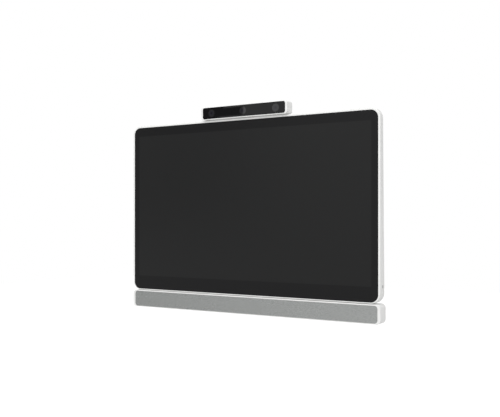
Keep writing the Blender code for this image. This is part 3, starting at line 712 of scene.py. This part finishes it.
def screw(name, middle, seat_y, size, nodes=()):
    """A low round screw head with a hexagonal socket, on a short shank. size is its radius and height."""
    radius, tall = size
    soft = 0.0003
    profile = [(radius * 0.45, -0.0050), (radius * 0.45, -0.0002), (radius, -0.0002),
               (radius, tall - 3 * soft), (radius - soft, tall - soft), (radius - 3 * soft, tall)]
    head = turned(name, profile, (middle.x, seat_y, middle.z))
    socket = [(radius * 0.48, 0.002), (radius * 0.48, -tall * 0.1)]
    cut(head, turned("hex_tool", socket, (middle.x, seat_y + tall * 0.35, middle.z), HEX_STEPS))
    return add_piece(head, MATERIALS["steel"], nodes)


def electronics_cover():
    """The raised box behind the panel: rounded all round, open for the mount hardware, vents and sockets."""
    half_w, half_h, middle = halves(COVER_LOW, COVER_HIGH)
    rear = COVER_HIGH.y
    bay_w, bay_h = BAY_HALF_W, (PLATE_HIGH.z - PLATE_LOW.z) / 2 - PLATE_OVERLAP
    centre = Vector((0, 0, 0))
    lip = 0.0004

    def outer(inset, depth):
        return ring(half_w - inset, half_h - inset, COVER_R - inset, middle, depth)

    def bay(offset, depth):
        return ring(bay_w + offset, bay_h + offset, BAY_R + offset, centre, depth)

    def foot(z):
        return panel_y(z) + GAP

    rings = [outer(0, foot)]
    rings += [outer(inset, rear - deep) for inset, deep in reversed(arc(COVER_EDGE, 8))]
    rings += [bay(lip, rear), bay(0, rear - lip), bay(0, rear - WALL)]
    rings += [outer(WALL + COVER_EDGE / 2, rear - WALL), outer(WALL, rear - WALL - COVER_EDGE / 2),
              outer(WALL, foot)]
    cover = loft("electronics_housing", rings, closed=True)
    vent_y = (rear + back_y(COVER_HIGH.z)) / 2
    slots = []
    for side in (-1, 1):
        for step in range(-SLOTS_A_SIDE, SLOTS_A_SIDE + 1):
            place = (side * SLOTS_X + step * SLOT_PITCH, vent_y, COVER_HIGH.z)
            slots.append((place, (SLOT_W, SLOT_L, 4 * WALL)))
    cut(cover, box_tool(slots))
    windows = []
    for names in (("mains_inlet", "mains_switch"), ("ethernet_socket", "hdmi_socket", "usb_socket")):
        lows, highs = zip(*(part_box(name) for name in names))
        low = Vector([min(corner[axis] for corner in lows) for axis in range(3)])
        high = Vector([max(corner[axis] for corner in highs) for axis in range(3)])
        size = high - low
        windows.append(((low + size / 2).xy.to_3d() + Vector((0, 0, COVER_LOW.z)),
                        (size.x + 2 * GAP, size.y + 2 * GAP, 4 * WALL)))
    cut(cover, box_tool(windows))
    add_piece(cover, MATERIALS["white_shell"], ["electronics_cover"])


def mount_hardware():
    """The flat plate with its countersunk screws, and the threaded standoffs beside it."""
    plate = refined("mount_plate", "mount_plate_steel", 0.0005, 3)
    rear = PLATE_HIGH.y
    sink = [(0.0042, CLEAR), (0.0042, 0.0), (0.0022, -0.0020), (0.0022, -0.004)]
    profile = [(0.0020, -0.0050), (0.0020, -0.0022), (0.0040, -0.0004), (0.0040, -0.0003)]
    socket = [(0.0014, CLEAR), (0.0014, -0.0016)]
    for number, (x, z) in enumerate([(x, z) for z in (1, -1) for x in (-1, 0, 1)], 1):
        place = (x * PLATE_SCREW_X, rear, z * PLATE_SCREW_Z)
        cut(plate, turned("sink_tool", sink, place))
        head = turned(f"plate_screw_{number}", profile, place)
        cut(head, turned("hex_tool", socket, place, HEX_STEPS))
        add_piece(head, MATERIALS["steel"])
    add_piece(plate, MATERIALS["steel"], ["mount_plate"])
    for number in range(1, 5):
        standoff(number)


def standoff(number):
    """A round standoff with a chamfered, threaded bore."""
    low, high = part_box(f"mount_standoff_{number}")
    radius = (high.x - low.x) / 2
    middle = (low + high) / 2
    length = high.y - low.y
    crest, root, pitch, bore, soft = 0.0034, 0.0037, 0.00125, 0.020, 0.0006
    profile = [(0.0001, 0), (radius - soft, 0), (radius, soft), (radius, length - soft),
               (radius - soft, length), (crest + 0.0008, length), (crest, length - 0.0008)]
    turns = int((bore - 0.0014) / pitch)
    for step in range(turns):
        top = length - 0.0012 - step * pitch
        profile += [(root, top - 0.3 * pitch), (root, top - 0.5 * pitch), (crest, top - 0.8 * pitch),
                    (crest, top - pitch)]
    profile += [(crest, length - bore), (0.0001, length - bore)]
    post = turned(f"threaded_standoff_{number}", profile, (middle.x, low.y, middle.z))
    add_piece(post, MATERIALS["steel"], [f"mount_standoff_{number}"])


def bay_liners():
    """A dark tray in each bay beside the mount plate, with a clear hole round each standoff."""
    rear = COVER_HIGH.y - WALL
    plate_w = (PLATE_HIGH.x - PLATE_LOW.x) / 2
    bay_h = (PLATE_HIGH.z - PLATE_LOW.z) / 2 - PLATE_OVERLAP
    for side, name in ((-1, "left"), (1, "right")):
        inner = plate_w - LINER_TUCK
        half_w = (BAY_HALF_W - inner) / 2 + LINER_T
        half_h = bay_h + LINER_T
        middle = Vector((side * (inner + BAY_HALF_W) / 2, 0, 0))

        def at(offset, depth):
            return ring(half_w + offset, half_h + offset, BAY_R + LINER_T + offset, middle, depth)

        floor_y = rear - LINER_DEEP
        outer_skin = [at(-LINER_SOFT, floor_y), at(0, floor_y + LINER_SOFT), at(0, rear)]
        inner_skin = [at(-LINER_T, rear), at(-LINER_T, floor_y + LINER_T + LINER_SOFT),
                      at(-LINER_SOFT - LINER_T, floor_y + LINER_T)]
        tray = loft(f"bay_liner_{name}", outer_skin + inner_skin)
        for z in (1, -1):
            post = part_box("mount_standoff_2" if z > 0 else "mount_standoff_4")
            radius = (post[1].x - post[0].x) / 2 + POST_CLEAR
            place = (side * (post[0].x + post[1].x) / 2, floor_y, z * abs(post[0].z + post[1].z) / 2)
            cut(tray, turned("post_tool", [(radius, 0.01), (radius, -0.01)], place))
        ribs(name, middle, floor_y + LINER_T, half_w)
        add_piece(tray, MATERIALS["black_plastic"])


def ribs(name, middle, floor_y, half_w):
    """Low cross ribs on a tray's floor, between its standoffs."""
    size = (2 * half_w - 0.008, 0.0026, 0.0018)
    for number in range(-3, 4):
        place = (middle.x, floor_y + 0.0012, number * RIB_PITCH)
        bar(f"bay_rib_{name}_{number + 4}", place, size, "black_plastic")


def brackets():
    """The plates that join the display, the camera bar and the soundbar, with their screws."""
    refine_node("camera_bracket", "camera_hanger", 0.0005, 3)
    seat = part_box("camera_bracket")[1].y
    places = [(x, seat, z) for z in CAMERA_SCREW_Z for x in (-CAMERA_SCREW_X, CAMERA_SCREW_X)]
    hanger_screws("camera_hanger", places)
    for side in ("left", "right"):
        node = f"soundbar_bracket_{side}"
        refine_node(node, f"soundbar_hanger_{side}", 0.0005, 3)
        low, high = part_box(node)
        middle_x = (low.x + high.x) / 2
        upper_seat = back_y(SOUND_HIGH.z + HANGER_STEP) + GAP + HANGER_T
        seats = ((SOUND_HIGH.z - HANGER_SCREW_LOW, high.y), (SOUND_HIGH.z + HANGER_SCREW_HIGH, upper_seat))
        places = [(middle_x + x, seat, z) for z, seat in seats for x in (-HANGER_SCREW_X, HANGER_SCREW_X)]
        hanger_screws(f"soundbar_hanger_{side}", places)


def hanger_screws(name, places):
    for number, place in enumerate(places, 1):
        screw(f"{name}_screw_{number}", Vector(place), place[1], HANGER_SCREW)


def sockets():
    for name in ("mains_inlet", "mains_switch", "ethernet_socket", "hdmi_socket", "usb_socket"):
        refine_node(name, f"{name}_body", 0.0003, 2)
    refine_node("mains_rocker", "mains_rocker_cap", 0.0004, 3, "mains_rocker")
    refine_node("power_button", "power_button_cap", 0.0003, 3, "power_button")
    contacts()


def contacts():
    """The metal that shows in each socket's mouth: inlet pins, a row of springs, and two tongues."""
    low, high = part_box("mains_inlet")
    middle = (low + high) / 2
    roof = high.z - WALL
    for number, (x, y) in enumerate(((-0.007, -0.002), (0.007, -0.002), (0.0, 0.003)), 1):
        place = (middle.x + x, middle.y + y, roof - 0.006)
        bar(f"inlet_pin_{number}", place, (0.0022, 0.0040, 0.0118), "steel")
    low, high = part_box("ethernet_socket")
    middle = (low + high) / 2
    for number in range(1, 9):
        x = middle.x + (number - 4.5) * 0.00102
        place = (x, middle.y + 0.0031, high.z - WALL - 0.0051)
        bar(f"network_spring_{number}", place, (0.0004, 0.0008, 0.0096), "steel")
    for name, width in (("hdmi_socket", 0.0105), ("usb_socket", 0.0095)):
        low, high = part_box(name)
        middle = (low + high) / 2
        place = (middle.x, middle.y - 0.0004, high.z - WALL - 0.0038)
        bar(f"{name}_tongue", place, (width, 0.0013, 0.0070), "black_plastic")


def bar(name, middle, size, slot):
    """A small square bar with softened edges."""
    shape = bmesh.new()
    bmesh.ops.create_cube(shape, size=1.0)
    bmesh.ops.scale(shape, vec=size, verts=shape.verts)
    bmesh.ops.bevel(shape, geom=shape.edges, offset=min(size) * 0.2, segments=2, profile=0.5, affect="EDGES")
    bmesh.ops.translate(shape, vec=middle, verts=shape.verts)
    return add_piece(finish_mesh(name, shape), MATERIALS[slot])


# ---- stage ----


def studio():
    """A white room: a pale floor, two soft lights, and surroundings with a dark flag at the front left."""
    bpy.context.scene.view_settings.view_transform = "Standard"
    surroundings()
    soft_light("key_light", KEY_AT, KEY_SIZE, KEY_WATTS)
    soft_light("top_light", TOP_AT, TOP_SIZE, TOP_WATTS)
    floor()


def surroundings():
    """White where the camera sees it, and a dimmer room with a dark flag for light and reflections."""
    world = bpy.data.worlds.new("studio")
    bpy.context.scene.world = world
    world.use_nodes = True
    tree = world.node_tree
    room = tree.nodes["Background"]
    white = tree.nodes.new("ShaderNodeBackground")
    room.inputs["Color"].default_value = (1, 1, 1, 1)
    white.inputs["Color"].default_value = (1, 1, 1, 1)
    white.inputs["Strength"].default_value = 1.0
    rays = tree.nodes.new("ShaderNodeLightPath")
    mix = tree.nodes.new("ShaderNodeMixShader")
    tree.links.new(rays.outputs["Is Camera Ray"], mix.inputs[0])
    tree.links.new(room.outputs[0], mix.inputs[1])
    tree.links.new(white.outputs[0], mix.inputs[2])
    tree.links.new(mix.outputs[0], tree.nodes["World Output"].inputs["Surface"])

    def math_node(operation, *values):
        node = tree.nodes.new("ShaderNodeMath")
        node.operation = operation
        for socket, value in zip(node.inputs, values):
            if hasattr(value, "is_linked"):
                tree.links.new(value, socket)
            else:
                socket.default_value = value
        return node.outputs[0]

    def ramp(value, low, high, at_low, at_high):
        node = tree.nodes.new("ShaderNodeMapRange")
        node.interpolation_type = "SMOOTHSTEP"
        tree.links.new(value, node.inputs["Value"])
        limits = {"From Min": low, "From Max": high, "To Min": at_low, "To Max": at_high}
        for socket, number in limits.items():
            node.inputs[socket].default_value = number
        return node.outputs["Result"]

    place = tree.nodes.new("ShaderNodeTexCoord")
    parts = tree.nodes.new("ShaderNodeSeparateXYZ")
    tree.links.new(place.outputs["Generated"], parts.inputs[0])
    x, y, z = parts.outputs
    leftward = math_node("DEGREES", math_node("ARCTAN2", math_node("MULTIPLY", x, -1.0),
                                              math_node("MULTIPLY", y, -1.0)))
    flag = math_node("MULTIPLY", ramp(leftward, FLAG_NEAR - FLAG_EDGE, FLAG_NEAR + FLAG_EDGE, 0.0, 1.0),
                     ramp(leftward, FLAG_FAR - FLAG_FAR_EDGE, FLAG_FAR + FLAG_FAR_EDGE, 1.0, 0.0))
    flag = math_node("MULTIPLY", flag, ramp(math_node("ABSOLUTE", z), *FLAG_TALL, 1.0, 0.0))
    forward = ramp(y, *FRONT_TO_BACK, ROOM_FRONT, ROOM_BACK)
    level = math_node("ADD", forward, ramp(z, *LEVEL_TO_TOP, 0.0, ROOM_TOP))
    level = math_node("SUBTRACT", level, ramp(math_node("ABSOLUTE", x), *MIDDLE_TO_SIDES, 0.0, ROOM_SIDES))
    down = math_node("MULTIPLY", z, -1.0)
    level = math_node("SUBTRACT", level, ramp(down, *LEVEL_TO_UNDER, 0.0, ROOM_UNDER))
    dark = math_node("SUBTRACT", 1.0, math_node("MULTIPLY", flag, 1.0 - FLAG_SHARE))
    tree.links.new(math_node("MULTIPLY", level, dark), room.inputs["Strength"])


def soft_light(name, at, size, watts):
    """A large rectangular light that points at the middle of the object."""
    data = bpy.data.lights.new(name, "AREA")
    data.shape = "RECTANGLE"
    data.size, data.size_y = size
    data.energy = watts
    lamp = bpy.data.objects.new(name, data)
    lamp.location = at
    lamp.rotation_euler = (Vector((0, FRONT, 0)) - Vector(at)).to_track_quat("-Z", "Y").to_euler()
    lamp.visible_glossy = False
    lamp.visible_camera = False
    bpy.context.scene.collection.objects.link(lamp)


def floor():
    """A pale floor under the wall-hung object."""
    half = FLOOR_HALF
    mesh = bpy.data.meshes.new("floor")
    corners = [(-half, -half, FLOOR_Z), (half, -half, FLOOR_Z), (half, half, FLOOR_Z), (-half, half, FLOOR_Z)]
    mesh.from_pydata(corners, [], [(0, 1, 2, 3)])
    plane = bpy.data.objects.new("floor", mesh)
    bpy.context.scene.collection.objects.link(plane)
    finish = Finish("floor", (0.72, 0.72, 0.72), 0.8, Specular_IOR_Level=0.1, Emission_Color=(1, 1, 1, 1))
    dull, pale = (0.70, 0.70, 0.70), (0.74, 0.74, 0.74)
    finish.set("Base Color", finish.colours(finish.noise(0.8, 2), (0.3, dull), (0.7, pale)))
    seen = finish.add("ShaderNodeLightPath").outputs["Is Camera Ray"]
    finish.set("Emission Strength", finish.between(seen, FLOOR_GLOW, FLOOR_LIFT))
    clear = finish.add("ShaderNodeBsdfTransparent")
    mix = finish.add("ShaderNodeMixShader")
    finish.link(finish.add("ShaderNodeNewGeometry").outputs["Backfacing"], mix.inputs[0])
    finish.link(finish.shader.outputs[0], mix.inputs[1])
    finish.link(clear.outputs[0], mix.inputs[2])
    finish.link(mix.outputs[0], finish.tree.nodes["Material Output"].inputs["Surface"])
    mesh.materials.append(finish.material)


def camera():
    data = bpy.data.cameras.new("photo_camera")
    data.lens = CAMERA_LENS
    data.sensor_width = CAMERA_SENSOR
    data.shift_y = CAMERA_SHIFT_Y
    data.dof.use_dof = False
    eye = bpy.data.objects.new("photo_camera", data)
    eye.location = CAMERA_AT
    eye.rotation_euler = (math.pi / 2, 0, CAMERA_TURN)
    bpy.context.scene.collection.objects.link(eye)
    bpy.context.scene.camera = eye


camera()
studio()
paint_cad_nodes()
display_frame()
cover_glass()
camera_bar()
soundbar()
rear_panel()
electronics_cover()
mount_hardware()
bay_liners()
brackets()
sockets()
